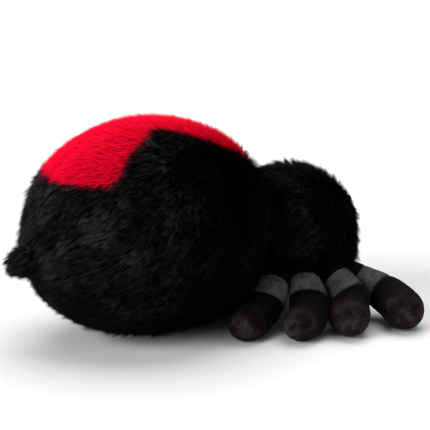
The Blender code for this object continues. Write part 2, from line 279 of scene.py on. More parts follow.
class Graph:
    """A material's node tree, built by expressions."""

    def __init__(self, name: str) -> None:
        """Start a Principled material of that name."""
        self.material = bpy.data.materials.new(name)
        self.material.use_nodes = True
        self.tree = self.material.node_tree
        self.shader = self.tree.nodes["Principled BSDF"]

    def node(self, kind: str, settings: dict, sockets: dict, output: object = 0) -> Link:
        """Add any node.

        Args:
            kind: The node's type.
            settings: Its properties.
            sockets: Input name or number to a value or a Link.
            output: Name or number of the output to return.

        Returns:
            The output as a Link.
        """
        made = self.tree.nodes.new(kind)
        for key, value in settings.items():
            setattr(made, key, value)
        self.feed(made, sockets)
        return Link(self, made.outputs[output])

    def feed(self, node: bpy.types.Node, sockets: dict) -> None:
        """Set a node's inputs from values and Links."""
        for key, value in sockets.items():
            if isinstance(value, Link):
                self.tree.links.new(value.socket, node.inputs[key])
            elif isinstance(value, tuple) and node.inputs[key].type == "RGBA":
                node.inputs[key].default_value = (*value, 1.0)
            else:
                node.inputs[key].default_value = value

    def noise(self, scale: float, detail: float = 2.0) -> Link:
        """Return noise with that many features a metre of the piece's own coordinates."""
        place = self.node("ShaderNodeTexCoord", {}, {}, "Object")
        return self.node("ShaderNodeTexNoise", {}, {"Vector": place, "Scale": scale, "Detail": detail})

    def number(self, name: str) -> Link:
        """Return a number stored on the mesh."""
        return self.node("ShaderNodeAttribute", {"attribute_name": name}, {}, "Fac")

    def mix(self, part: object, first: object, second: object) -> Link:
        """Mix two colours by a number."""
        return self.node("ShaderNodeMix", {"data_type": "RGBA"}, {0: part, 6: first, 7: second}, 2)

    def band(self, value: Link, span: Span) -> Link:
        """Map a number from a span to 0..1, held at the ends."""
        low, high = span
        return self.node("ShaderNodeMapRange", {}, {"Value": value, "From Min": low, "From Max": high})

    def bump(self, height: Link, strength: float, distance: float) -> Link:
        """Turn a height into a normal."""
        sockets = {"Height": height, "Strength": strength, "Distance": distance}
        return self.node("ShaderNodeBump", {}, sockets)

    def finish(self, sockets: dict) -> bpy.types.Material:
        """Feed the Principled shader and return the material."""
        self.feed(self.shader, sockets)
        return self.material


@dataclass(frozen=True)
class FurFinish:
    """Long soft pile, darker at its roots than at its tips."""

    name: str
    root: Colour
    body: Colour
    tip: Colour
    specular: float
    contrast: float
    body_part: Span = (0.05, 0.50)
    tip_part: Span = (0.25, 0.95)
    pale: Span = (0.35, 1.15)
    patch_scale: float = 60.0
    patch_edge: Span = (0.35, 0.65)
    patch_share: float = 0.35
    roughness: float = 0.50
    rough_gain: float = 0.2

    def material(self) -> bpy.types.Material:
        """Build the material of the tufts."""
        graph = Graph(self.name)
        along = graph.number("along")
        shade = graph.number("shade")
        patches = graph.band(graph.noise(self.patch_scale), self.patch_edge)
        lower = graph.mix(graph.band(along, self.body_part), self.root, self.body)
        # the shade number carries painted shade, lower on the underside and at the front of each ball
        lit = graph.band(shade + patches * self.patch_share, self.pale) ** self.contrast
        return graph.finish({
            "Base Color": graph.mix(graph.band(along, self.tip_part) * lit, lower, self.tip),
            "Roughness": self.roughness + shade * self.rough_gain,
            "Specular IOR Level": self.specular,
        })


@dataclass(frozen=True)
class BackingFinish:
    """The knitted cloth that the pile grows from, black with a red panel."""

    name: str
    black: Colour = (0.0010, 0.0008, 0.0010)
    red: Colour = (0.30, 0.0006, 0.006)
    worn_gain: float = 2.0
    knit: float = 1400.0
    knit_edge: Span = (0.3, 0.7)
    knit_bump: float = 0.5
    knit_height: float = 0.6 * MM
    roughness: float = 0.9
    specular: float = 0.15

    def material(self) -> bpy.types.Material:
        """Build the material of the backing."""
        graph = Graph(self.name)
        knit = graph.noise(self.knit)
        paler = tuple(self.worn_gain * part for part in self.black)
        wear_and_highlight = graph.mix(graph.band(knit, self.knit_edge), self.black, paler)
        return graph.finish({
            "Base Color": graph.mix(graph.number("panel"), wear_and_highlight, self.red),
            "Roughness": self.roughness,
            "Specular IOR Level": self.specular,
            "Normal": graph.bump(knit, self.knit_bump, self.knit_height),
        })


@dataclass(frozen=True)
class VelourFinish:
    """Short-pile velour with a mottled nap, lightened by a painted highlight where the mesh says so."""

    name: str
    deep: Colour
    light: Colour
    sheen: float
    sheen_tint: Colour
    fleck: float
    brushed: float = 160.0
    crisp: float = 0.08
    fleck_share: float = 0.6
    brushed_edge: Span = (0.36, 0.64)
    patch_scale: float = 110.0
    patch_edge: Span = (0.42, 0.58)
    # painted highlight: how it is mottled, and its base and gain
    uneven: float = 0.0
    highlight_base: float = 1.0
    highlight_gain: float = 0.0
    nap: float = 2600.0
    nap_bump: float = 0.55
    nap_height: float = 0.5 * MM
    roughness: float = 0.72
    rough_gain: float = 0.2
    specular: float = 0.04
    brushed_height: float = 0.6
    sheen_roughness: float = 0.35
    detail: float = 3.0

    def material(self) -> bpy.types.Material:
        """Build the velour material."""
        graph = Graph(self.name)
        fleck = graph.band(graph.noise(self.fleck, self.detail), (0.50 - self.crisp, 0.50 + self.crisp))
        brushed = graph.band(graph.noise(self.brushed, self.detail), self.brushed_edge)
        patch = graph.band(graph.noise(self.patch_scale), self.patch_edge)
        # painted highlight: the mesh's number lightens the dark velour at the toes
        toe_highlight = graph.number("toe_highlight") * (1.0 - (1.0 - patch) * self.uneven)
        wear_and_highlight = toe_highlight * self.highlight_gain + self.highlight_base
        mottle = fleck * self.fleck_share + brushed * (1.0 - self.fleck_share)
        height = graph.noise(self.nap, self.detail) + brushed * self.brushed_height
        return graph.finish({
            "Base Color": graph.mix(mottle * wear_and_highlight, self.deep, self.light),
            "Roughness": self.roughness + fleck * self.rough_gain,
            "Specular IOR Level": self.specular,
            "Sheen Weight": self.sheen,
            "Sheen Roughness": self.sheen_roughness,
            "Sheen Tint": self.sheen_tint,
            "Normal": graph.bump(height, self.nap_bump, self.nap_height),
        })


@dataclass(frozen=True)
class GlossFinish:
    """Polished black plastic."""

    name: str
    colour: Colour = (0.004, 0.004, 0.005)
    haze: float = 400.0
    haze_edge: Span = (0.4, 0.7)
    roughness: float = 0.07
    rough_gain: float = 0.06
    specular: float = 0.35

    def material(self) -> bpy.types.Material:
        """Build the plastic material."""
        graph = Graph(self.name)
        haze = graph.band(graph.noise(self.haze), self.haze_edge)
        return graph.finish({
            "Base Color": self.colour,
            "Roughness": self.roughness + haze * self.rough_gain,
            "Specular IOR Level": self.specular,
        })


@dataclass(frozen=True)
class FloorFinish:
    """A pale, matt studio floor."""

    name: str
    colour: Colour = (0.90, 0.90, 0.90)
    paler: float = 1.03
    cloud: float = 3.0
    roughness: float = 0.9

    def material(self) -> bpy.types.Material:
        """Build the floor material."""
        graph = Graph(self.name)
        pale = tuple(part * self.paler for part in self.colour)
        colour = graph.mix(graph.noise(self.cloud), self.colour, pale)
        return graph.finish({"Base Color": colour, "Roughness": self.roughness})


@dataclass(frozen=True)
class Ball:
    """A stuffed ball: an ellipsoid that leans, with a fuller lower half."""

    at: Place
    half: Place
    lean: float
    sag: float

    def surface(self, ways: np.ndarray, grown: object = 0.0) -> np.ndarray:
        """Return the ball's points in the given directions.

        Args:
            ways: Rows of unit vectors.
            grown: How far outside the ball, one number or one a row.

        Returns:
            Rows of points in the toy's frame.
        """
        size = np.array(self.half) + np.asarray(grown).reshape(-1, 1)
        level = ways[:, 2]
        power = np.where(level < 0.0, self.sag, 2.0)
        plain = np.clip(1.0 - level**2, TINY, None)
        full = np.sqrt(np.clip(1.0 - np.abs(level) ** power, 0.0, None) / plain)
        shape = np.stack([ways[:, 0] * full, ways[:, 1] * full, level], 1) * size
        shape[:, 0] += self.lean * level
        return shape + np.array(self.at)

    def normals(self, ways: np.ndarray) -> np.ndarray:
        """Return the outward normals in the given directions."""
        half = np.array(self.half)
        spot = self.surface(ways) - np.array(self.at)
        level = spot[:, 2] / half[2]
        across = (spot[:, 0] - self.lean * level) / half[0]
        power = np.where(level < 0.0, self.sag, 2.0)
        rise = power * np.sign(level) * np.abs(level) ** (power - 1.0)
        rise -= 2.0 * across * self.lean / half[0]
        return unit(np.stack([2.0 * across / half[0], 2.0 * spot[:, 1] / half[1] ** 2, rise / half[2]], 1))

    def inside(self, points: np.ndarray, grown: float = 0.0) -> np.ndarray:
        """Tell which points lie inside the ball, grown by some length."""
        size = np.array(self.half) + grown
        spot = points - np.array(self.at)
        level = np.clip(spot[:, 2] / size[2], -1.0, 1.0)
        power = np.where(level < 0.0, self.sag, 2.0)
        across = (spot[:, 0] - self.lean * level) / size[0]
        wide = across**2 + (spot[:, 1] / size[1]) ** 2
        return (wide < 1.0 - np.abs(level) ** power) & (np.abs(spot[:, 2]) < size[2])


@dataclass(frozen=True)
class Pile:
    """How the fur of one ball grows.

    The rise of the root and the tip and the least and most rise are in degrees. All other angles
    are in radians.
    """

    strands: int
    locks: int
    wisps: int
    length: float
    depth: float
    seed: int
    lie: Place = (-1.0, 0.0, -0.55)
    width: float = 0.17 * MM
    width_spread: Span = (0.75, 1.25)
    rooted: float = 0.5 * MM
    rise_root: float = 54.0
    rise_tip: float = 30.0
    rise_least: float = 4.0
    rise_most: float = 86.0
    swirl: float = 0.26
    swirl_waves: float = 0.9
    swell: float = 0.08
    swell_waves: float = 1.1
    pressed: float = 0.0
    sunk: float = 0.0
    scatter: float = 0.5
    turn_stray: float = 0.16
    rise_stray: float = 0.09
    long_mean: float = 0.95
    long_stray: float = 0.10
    own_shade: float = 0.35
    wisp_shade: float = 0.45
    lock_shade: float = 0.20
    wisp_hold: float = 0.55
    lock_hold: float = 0.66
    wisp_reach: float = 1.0
    lock_reach: float = 1.12
    unrest: float = 0.16
    unrest_rise: float = 1.1
    unrest_long: float = 0.14
    clump_scatter: float = 0.28
    clump_follow: float = 0.5
    hold_spread: Span = (0.4, 1.0)
    tip_drift: float = 0.2
    middle_drift: float = 0.8
    middle_hold: float = 0.4
    floor_gap: float = 0.3 * MM
    floor_spread: float = 0.5 * MM


@dataclass
class Tufts:
    """The strands of a coat, as rows of arrays."""

    ways: np.ndarray
    root: np.ndarray
    middle: np.ndarray
    tip: np.ndarray
    side: np.ndarray
    lift: np.ndarray
    width: np.ndarray
    shade: np.ndarray

    def chosen(self, keep: np.ndarray) -> "Tufts":
        """Return only the strands that keep names."""
        return Tufts(*(getattr(self, name)[keep] for name in self.__dataclass_fields__))


@dataclass
class Gathering:
    """Places on a ball where the strands around them meet in a point."""

    ways: np.ndarray
    turn: np.ndarray
    rise: np.ndarray
    long: np.ndarray
    shade: np.ndarray
    leaders: Tufts

    def nearest(self, ways: np.ndarray) -> np.ndarray:
        """Return the number of the place nearest to each direction."""
        tree = kdtree.KDTree(len(self.ways))
        for number, way in enumerate(self.ways):
            tree.insert(way, number)
        tree.balance()
        return np.array([tree.find(way)[1] for way in ways])


STRAND_TURNS = np.radians([90.0, 210.0, 330.0])
STRAND_TAPER = 0.85
STRAND_SIDES = np.array([[0, 1, 4, 3], [1, 2, 5, 4], [2, 0, 3, 5]])
STRAND_ENDS = np.array([[3, 4, 6], [4, 5, 6], [5, 3, 6], [0, 2, 1]])
STRAND_ALONG = np.array([0.0, 0.0, 0.0, 0.5, 0.5, 0.5, 1.0])
STRAND_ACROSS = np.array([0.0, 0.5, 1.0, 0.0, 0.5, 1.0, 0.5])
STRANDS_A_PIECE = 19000


def build_tufts(name: str, tufts: Tufts) -> bpy.types.Object:
    """Make one mesh of closed, three-sided, tapered strands.

    Args:
        name: The piece's name.
        tufts: The strands.

    Returns:
        The mesh object with its bake map.
    """
    count = len(tufts.root)
    corners = []
    for points, scale in ((tufts.root, 1.0), (tufts.middle, STRAND_TAPER)):
        for turn in STRAND_TURNS:
            way = tufts.side * math.cos(turn) + tufts.lift * math.sin(turn)
            corners.append(points + way * (tufts.width * scale)[:, None])
    points = np.stack([*corners, tufts.tip], 1).reshape(-1, 3)
    first = (np.arange(count) * len(STRAND_ALONG))[:, None, None]
    quads = (first + STRAND_SIDES).reshape(-1, 4)
    ends = (first + STRAND_ENDS).reshape(-1, 3)
    piece = make_mesh(name, points, [quads, ends])
    add_numbers(piece, "along", np.tile(STRAND_ALONG, count))
    add_numbers(piece, "shade", np.repeat(tufts.shade, len(STRAND_ALONG)))
    spot_u = (np.arctan2(tufts.ways[:, 1], tufts.ways[:, 0]) / (2.0 * math.pi) + 0.5) * (1.0 - TUFT_PATCH)
    spot_v = (tufts.ways[:, 2] + 1.0) / 2.0 * (1.0 - TUFT_PATCH)
    patch = np.stack([
        (spot_u[:, None] + STRAND_ACROSS * TUFT_PATCH).ravel(),
        (spot_v[:, None] + STRAND_ALONG * TUFT_PATCH).ravel(),
    ], 1)
    order = np.concatenate([quads.ravel(), ends.ravel()])
    bake = piece.data.uv_layers.new(name=BAKE_MAP)
    bake.data.foreach_set("uv", patch[order].astype(np.float32).ravel())
    return piece


def build_coat(
    stem: str, tufts: Tufts, finish: FurFinish, node: str = ""
) -> list[bpy.types.Object]:
    """Split a coat by its turn round the ball, and build and attach each share.

    Args:
        stem: The name of the coat, numbered where it has several pieces.
        tufts: The strands.
        finish: Their finish.
        node: The solid that the coat's first piece stands for, if any.

    Returns:
        The pieces.
    """
    material = finish.material()
    shares = max(1, math.ceil(len(tufts.root) / STRANDS_A_PIECE))
    order = np.argsort(np.arctan2(tufts.ways[:, 1], tufts.ways[:, 0]))
    made = []
    for number, share in enumerate(np.array_split(order, shares), 1):
        piece = build_tufts(f"{stem}_{number}" if shares > 1 else stem, tufts.chosen(share))
        attach(piece, material, node if number == 1 else "")
        made.append(piece)
    return made


@dataclass(kw_only=True)
class FurBall:
    """One furry ball of the toy: its backing and the pile that grows on it."""

    name: str
    ball: Ball
    pile: Pile
    fur: FurFinish
    backing: BackingFinish
    rings: int = 56
    fill: float = 0.9
    backing_gap: float = 0.4 * MM
    lump: float = 0.7 * MM
    lump_waves: float = 0.55
    # painted shade: how much the tips are darkened on the underside and at the front of the ball
    under_dark: float = 0.58
    front_dark: float = 0.48
    weight_edge: Span = (-0.15, -0.75)
    under_edge: Span = (-0.10, -0.80)
    front_edge: Span = (-0.30, 0.35)

    def relief(self, ways: np.ndarray) -> np.ndarray:
        """Return how far the backing stands out of the plain ball, in metres."""
        return self.lump * ripple(ways, self.lump_waves, self.pile.seed + Draw.LUMPS)

    def panel(self, points: np.ndarray) -> np.ndarray:
        """Return 1 where the backing belongs to a red panel."""
        return np.zeros(len(points))

    def length(self, ways: np.ndarray) -> np.ndarray:
        """Return the pile's length in the given directions, as a part of its full length."""
        return np.ones(len(ways))

    def underside(self, ways: np.ndarray) -> np.ndarray:
        """Return 1 where the ball's weight presses its pile, and 0 on its upper half."""
        return smooth_step(*self.weight_edge, ways[:, 2])

    def depth(self, ways: np.ndarray) -> np.ndarray:
        """Return how far the backing lies under the ball's surface, less where the pile is pressed."""
        return self.pile.depth - self.pile.sunk * self.underside(ways)

    def unruly(self, ways: np.ndarray) -> np.ndarray:
        """Return how strongly the pile clumps in the given directions, from 0 to 1."""
        return np.ones(len(ways))

    def painted_shade_factor(self, ways: np.ndarray) -> np.ndarray:
        """Return how pale the pile's tips are in the given directions: painted shade darkens them on the
        underside and at the front.
        """
        under = smooth_step(*self.under_edge, ways[:, 2])
        front = smooth_step(*self.front_edge, ways[:, 0])
        return 1.0 - self.under_dark * under - self.front_dark * front

    def turned(self, vectors: np.ndarray) -> np.ndarray:
        """Turn vectors the way that the whole ball is turned."""
        return vectors

    def settled(self, points: np.ndarray) -> np.ndarray:
        """Turn points about the ball's middle the way that the whole ball is turned."""
        at = np.array(self.ball.at)
        return at + self.turned(points - at)

    def turn_patch(self, ways: np.ndarray) -> np.ndarray:
        """Return how far the pile turns from its lie in the given directions, in radians."""
        return self.pile.swirl * ripple(ways, self.pile.swirl_waves, self.pile.seed + Draw.SWIRL)

    def rise_patch(self, ways: np.ndarray) -> np.ndarray:
        """Return how far the pile stands up or lies pressed in the given directions, in radians."""
        swell = self.pile.swell * ripple(ways, self.pile.swell_waves, self.pile.seed + Draw.SWELL)
        return swell - self.pile.pressed * self.underside(ways)

    def keep(self, tufts: Tufts) -> np.ndarray:
        """Tell which strands grow at all."""
        return np.ones(len(tufts.root), bool)

    def colour_spots(self, tufts: Tufts) -> np.ndarray:
        """Return the points whose panel gives each strand its colour."""
        return tufts.root

    def build_panel(self, tufts: Tufts) -> list[bpy.types.Object]:
        """Build the strands of another colour; a plain ball has none."""
        return []

    def build_backing(self) -> bpy.types.Object:
        """Build the ball of backing cloth that the pile hides."""
        around = 2 * self.rings
        level = np.linspace(0.0, math.pi, self.rings + 1)[1:-1]
        turn = circle(around)
        grid = np.stack([
            np.outer(np.sin(level), np.cos(turn)),
            np.outer(np.sin(level), np.sin(turn)),
            np.outer(np.cos(level), np.ones(around)),
        ], 2).reshape(-1, 3)
        ways = np.concatenate([grid, [UP, -UP]])
        points = self.settled(self.ball.surface(ways, self.relief(ways) - self.depth(ways)))
        points[:, 2] = np.maximum(points[:, 2], self.backing_gap)
        skin = make_mesh(f"{self.name}_backing", points, tube_faces(len(level), around))
        add_numbers(skin, "panel", self.panel(self.ball.surface(ways)))
        attach(skin, self.backing.material(), self.name)
        return skin

    def shape(self, ways: np.ndarray, turn: np.ndarray, rise: np.ndarray, length: np.ndarray) -> Tufts:
        """Bend strands over the ball.

        Args:
            ways: Directions of the roots.
            turn: How far each strand turns from the lie, in radians.
            rise: How far each stands up beyond the pile's own rise, in radians.
            length: Each strand's length.

        Returns:
            The strands.
        """
        pile = self.pile
        normals = self.ball.normals(ways)
        lie = unit(np.array(pile.lie) - normals * (normals @ np.array(pile.lie))[:, None])
        side = np.cross(normals, lie)
        along = lie * np.cos(turn)[:, None] + side * np.sin(turn)[:, None]
        side = np.cross(normals, along)
        root = self.ball.surface(ways, self.relief(ways) - self.depth(ways) - pile.rooted)
        least, most = math.radians(pile.rise_least), math.radians(pile.rise_most)
        steps = []
        for base in (pile.rise_root, pile.rise_tip):
            angle = np.clip(math.radians(base) + rise, least, most)[:, None]
            steps.append((normals * np.sin(angle) + along * np.cos(angle)) * (length / 2.0)[:, None])
        middle = root + steps[0]
        width = np.full(len(ways), pile.width)
        return Tufts(ways, root, middle, middle + steps[1], side, normals, width, np.zeros(len(ways)))

    def gathering(self, count: int, reach: float, dice: np.random.Generator) -> Gathering:
        """Spread places over the ball towards which the strands around them lean.

        Args:
            count: How many places.
            reach: How long their leading strands are, as a part of the pile's length.
            dice: The random draw.

        Returns:
            The places, each with a leading strand.
        """
        pile = self.pile
        ways = spread_ways(count, pile.clump_scatter, dice)
        unruly = self.unruly(ways)
        turn = dice.normal(0.0, pile.unrest, count) * unruly
        rise = dice.normal(0.0, pile.unrest_rise * pile.unrest, count) * unruly
        long = reach + dice.normal(0.0, pile.unrest_long, count) * unruly
        length = pile.length * long * self.length(ways)
        leaders = self.shape(ways, self.turn_patch(ways) + turn, self.rise_patch(ways) + rise, length)
        return Gathering(ways, turn, rise, long, dice.random(count), leaders)

    def grow(self) -> Tufts:
        """Grow the whole coat, gathered into wisps and the wisps into locks."""
        pile, count = self.pile, self.pile.strands
        dice = np.random.default_rng(pile.seed)
        ways = spread_ways(count, pile.scatter, dice)
        turn = self.turn_patch(ways) + dice.normal(0.0, pile.turn_stray, count)
        rise = self.rise_patch(ways) + dice.normal(0.0, pile.rise_stray, count)
        long = self.length(ways) * dice.normal(pile.long_mean, pile.long_stray, count)
        shade = pile.own_shade * dice.random(count)
        levels = []
        for clumps, share, hold, reach in (
            (pile.wisps, pile.wisp_shade, pile.wisp_hold, pile.wisp_reach),
            (pile.locks, pile.lock_shade, pile.lock_hold, pile.lock_reach),
        ):
            group = self.gathering(clumps, reach, dice)
            near = group.nearest(ways)
            turn += group.turn[near] * pile.clump_follow
            rise += group.rise[near] * pile.clump_follow
            long *= 1.0 + (group.long[near] - reach) * pile.clump_follow
            shade += share * group.shade[near]
            levels.append((group.leaders, near, hold))
        tufts = self.shape(ways, turn, rise, pile.length * long)
        for leaders, near, hold in levels:
            share = (hold * self.unruly(ways) * dice.uniform(*pile.hold_spread, count))[:, None]
            drift = tufts.root - leaders.root[near]
            tufts.tip += (leaders.tip[near] + drift * pile.tip_drift - tufts.tip) * share
            bend = leaders.middle[near] + drift * pile.middle_drift - tufts.middle
            tufts.middle += bend * share * pile.middle_hold
        tufts.width *= dice.uniform(*pile.width_spread, count)
        # painted shade: the strands' paleness is cut on the underside and at the front of each ball
        tufts.shade = shade * self.painted_shade_factor(ways)
        for name in ("root", "middle", "tip"):
            setattr(tufts, name, self.settled(getattr(tufts, name)))
        tufts.side, tufts.lift = self.turned(tufts.side), self.turned(tufts.lift)
        for points in (tufts.middle, tufts.tip):
            lowest = pile.floor_gap + pile.floor_spread * dice.random(count)
            points[:, 2] = np.maximum(points[:, 2], lowest)
        return tufts.chosen(self.keep(tufts))

    def build(self) -> list[bpy.types.Object]:
        """Build the backing and the coat."""
        made = [self.build_backing()]
        tufts = self.grow()
        other = self.panel(self.colour_spots(tufts)) > 0.5
        made += build_coat(f"{self.name}_coat", tufts.chosen(~other), self.fur)
        return made + self.build_panel(tufts.chosen(other))


@dataclass(kw_only=True)
class Abdomen(FurBall):
    """The abdomen, with the red hourglass panel on its back.

    The panel's half_widths are pairs of a place along the abdomen and half the width there.
    """

    red_fur: FurFinish
    head: Ball
    nub: Ball
    half_widths: tuple[Span, ...] = (
        (-0.0440, 0.0404), (-0.0400, 0.0412), (-0.0355, 0.0398), (-0.0321, 0.0376),
        (-0.0283, 0.0350), (-0.0228, 0.0322), (-0.0157, 0.0292), (-0.0085, 0.0250),
        (-0.0045, 0.0206), (0.0000, 0.0203), (0.0054, 0.0232), (0.0131, 0.0268),
        (0.0201, 0.0292), (0.0300, 0.0318), (0.0402, 0.0322), (0.0534, 0.0255),
    )
    rear_reach: float = 0.0209
    rear_round: float = 2.3
    rear_skew: float = 0.035
    front_corner: float = 0.0580
    front_reach: float = 0.0060
    front_round: float = 2.8
    red_calm: float = 0.65
    fringe: float = 0.6 * MM
    fringe_depth: float = 0.5 * MM
    fringe_lean: float = 0.22
    seam_draw: float = 1.6 * MM
    seam_half: float = 0.045
    belt_rise: float = 2.0 * MM
    belt_level: float = -0.10
    belt_half: float = 0.14
    belly_rise: float = 3.2 * MM
    seam_edge: Span = (-0.35, -0.75)
    belt_edge: Span = (-0.55, -0.85)
    belly_front: Span = (0.22, 0.60)
    belly_under: Span = (-0.22, -0.60)
    neck_overlap: float = 2.0 * MM
    head_overlap: float = 3.0 * MM
    nub_overlap: float = 4.5 * MM

    def panel(self, points: np.ndarray) -> np.ndarray:
        """Return 1 inside the hourglass, seen from above."""
        places, halves = np.array(self.half_widths).T
        x = points[:, 0] - self.ball.at[0]
        y = np.abs(points[:, 1])
        rear_curve = 1.0 - np.clip(y / halves[0], 0.0, 1.0) ** self.rear_round
        rear = places[0] - self.rear_reach * rear_curve + self.rear_skew * points[:, 1]
        front_curve = 1.0 - np.clip(y / halves[-1], 0.0, 1.0) ** self.front_round
        front = self.front_corner + self.front_reach * front_curve
        inside = (y < np.interp(x, places, halves)) & (x > rear) & (x < front)
        return (inside & (points[:, 2] > self.ball.at[2])).astype(float)

    def colour_spots(self, tufts: Tufts) -> np.ndarray:
        """Take each strand's colour from where it comes to the surface, a little mixed at the edge."""
        dice = np.random.default_rng(self.pile.seed + Draw.FRINGE)
        mixed = dice.normal(0.0, self.fringe, tufts.root.shape)
        lean = (tufts.tip - tufts.root) * [self.fringe_lean, self.fringe_lean, 0.0]
        return self.ball.surface(tufts.ways, -self.fringe_depth) + lean + mixed

    def unruly(self, ways: np.ndarray) -> np.ndarray:
        """Let the red panel's pile lie smoother than the black one's."""
        return 1.0 - self.red_calm * self.panel(self.ball.surface(ways))

    def relief(self, ways: np.ndarray) -> np.ndarray:
        """Add the rear seam, the fullness above the nub and the belly next to the legs."""
        x, y, z = ways.T
        seam = hump(y, self.seam_half) * smooth_step(*self.seam_edge, x)
        belt = hump(z - self.belt_level, self.belt_half) * smooth_step(*self.belt_edge, x)
        belly = smooth_step(*self.belly_front, x) * smooth_step(*self.belly_under, z)
        return super().relief(ways) + (
            self.belt_rise * belt + self.belly_rise * belly - self.seam_draw * seam
        )

    def keep(self, tufts: Tufts) -> np.ndarray:
        """Leave out strands that the head or the nub hides."""
        hidden = tufts.root[:, 0] > NECK_X + self.neck_overlap
        hidden |= self.head.inside(tufts.tip, -self.head_overlap)
        hidden |= self.nub.inside(tufts.root, -self.nub_overlap)
        return ~hidden

    def build_panel(self, tufts: Tufts) -> list[bpy.types.Object]:
        """Build the red strands of the hourglass."""
        return build_coat("hourglass_coat", tufts, self.red_fur, "hourglass")


@dataclass(kw_only=True)
class Head(FurBall):
    """The head, with a trimmed face round its eyes. Its angles are in degrees."""

    eyes: tuple[tuple[np.ndarray, float], ...]
    face_turn: float = 21.0
    face_rise: float = 22.0
    face_up: float = 13.0
    face_length: float = 0.38
    face_depth: float = 3.6 * MM
    mouth_turn: float = 24.0
    mouth_rise: float = 20.0
    mouth_up: float = -36.0
    mouth_length: float = 0.45
    trim_edge: Span = (0.85, 1.30)
    nape_rise: float = 2.4 * MM
    nape_length: float = 0.10
    nape_rear: Span = (-0.10, -0.42)
    nape_top: Span = (0.15, 0.50)
    neck_overlap: float = 1.0 * MM
    eye_clear: float = 1.02

    def away(self, ways: np.ndarray, up: float, turn: float, rise: float) -> np.ndarray:
        """Return 0 on a trimmed patch of the front and 1 where the pile has its full length.

        Args:
            ways: Directions from the ball's middle.
            up: How high the patch's middle lies, in degrees.
            turn: Half its width, in degrees.
            rise: Half its height, in degrees.

        Returns:
            Numbers from 0 to 1.
        """
        across = np.degrees(np.arctan2(ways[:, 1], ways[:, 0])) / turn
        along = (np.degrees(np.arcsin(np.clip(ways[:, 2], -1.0, 1.0))) - up) / rise
        return smooth_step(*self.trim_edge, np.hypot(across, along))

    def off_face(self, ways: np.ndarray) -> np.ndarray:
        """Return 0 on the trimmed face and 1 away from it."""
        return self.away(ways, self.face_up, self.face_turn, self.face_rise)

    def nape(self, ways: np.ndarray) -> np.ndarray:
        """Return 1 at the top of the rear, where the head meets the abdomen."""
        return smooth_step(*self.nape_rear, ways[:, 0]) * smooth_step(*self.nape_top, ways[:, 2])

    def relief(self, ways: np.ndarray) -> np.ndarray:
        """Add the full nape to the ball's own lumps."""
        return super().relief(ways) + self.nape_rise * self.nape(ways)

    def length(self, ways: np.ndarray) -> np.ndarray:
        """Trim the pile round the eyes and a little round the fangs, and leave it longest at the nape."""
        off_mouth = self.away(ways, self.mouth_up, self.mouth_turn, self.mouth_rise)
        off_face = self.off_face(ways) * (self.mouth_length + (1.0 - self.mouth_length) * off_mouth)
        return self.face_length + (1.0 - self.face_length) * off_face + self.nape_length * self.nape(ways)

    def depth(self, ways: np.ndarray) -> np.ndarray:
        """Raise the backing under the trimmed face."""
        return self.face_depth + (super().depth(ways) - self.face_depth) * self.off_face(ways)

    def keep(self, tufts: Tufts) -> np.ndarray:
        """Leave out strands behind the seam and in front of the eyes."""
        hidden = tufts.root[:, 0] < NECK_X - self.neck_overlap
        for at, radius in self.eyes:
            for points in (tufts.root, tufts.middle, tufts.tip):
                hidden |= np.linalg.norm(points - at, axis=1) < radius * self.eye_clear
        return ~hidden


@dataclass(kw_only=True)
class Spinnerets(FurBall):
    """The stubby furry nub at the rear."""

    drop: float = math.radians(10.0)

    def turned(self, vectors: np.ndarray) -> np.ndarray:
        """Turn vectors so that the nub points a little down."""
        cosine, sine = math.cos(self.drop), math.sin(self.drop)
        x, y, z = vectors.T
        return np.stack([x * cosine - z * sine, y, x * sine + z * cosine], 1)


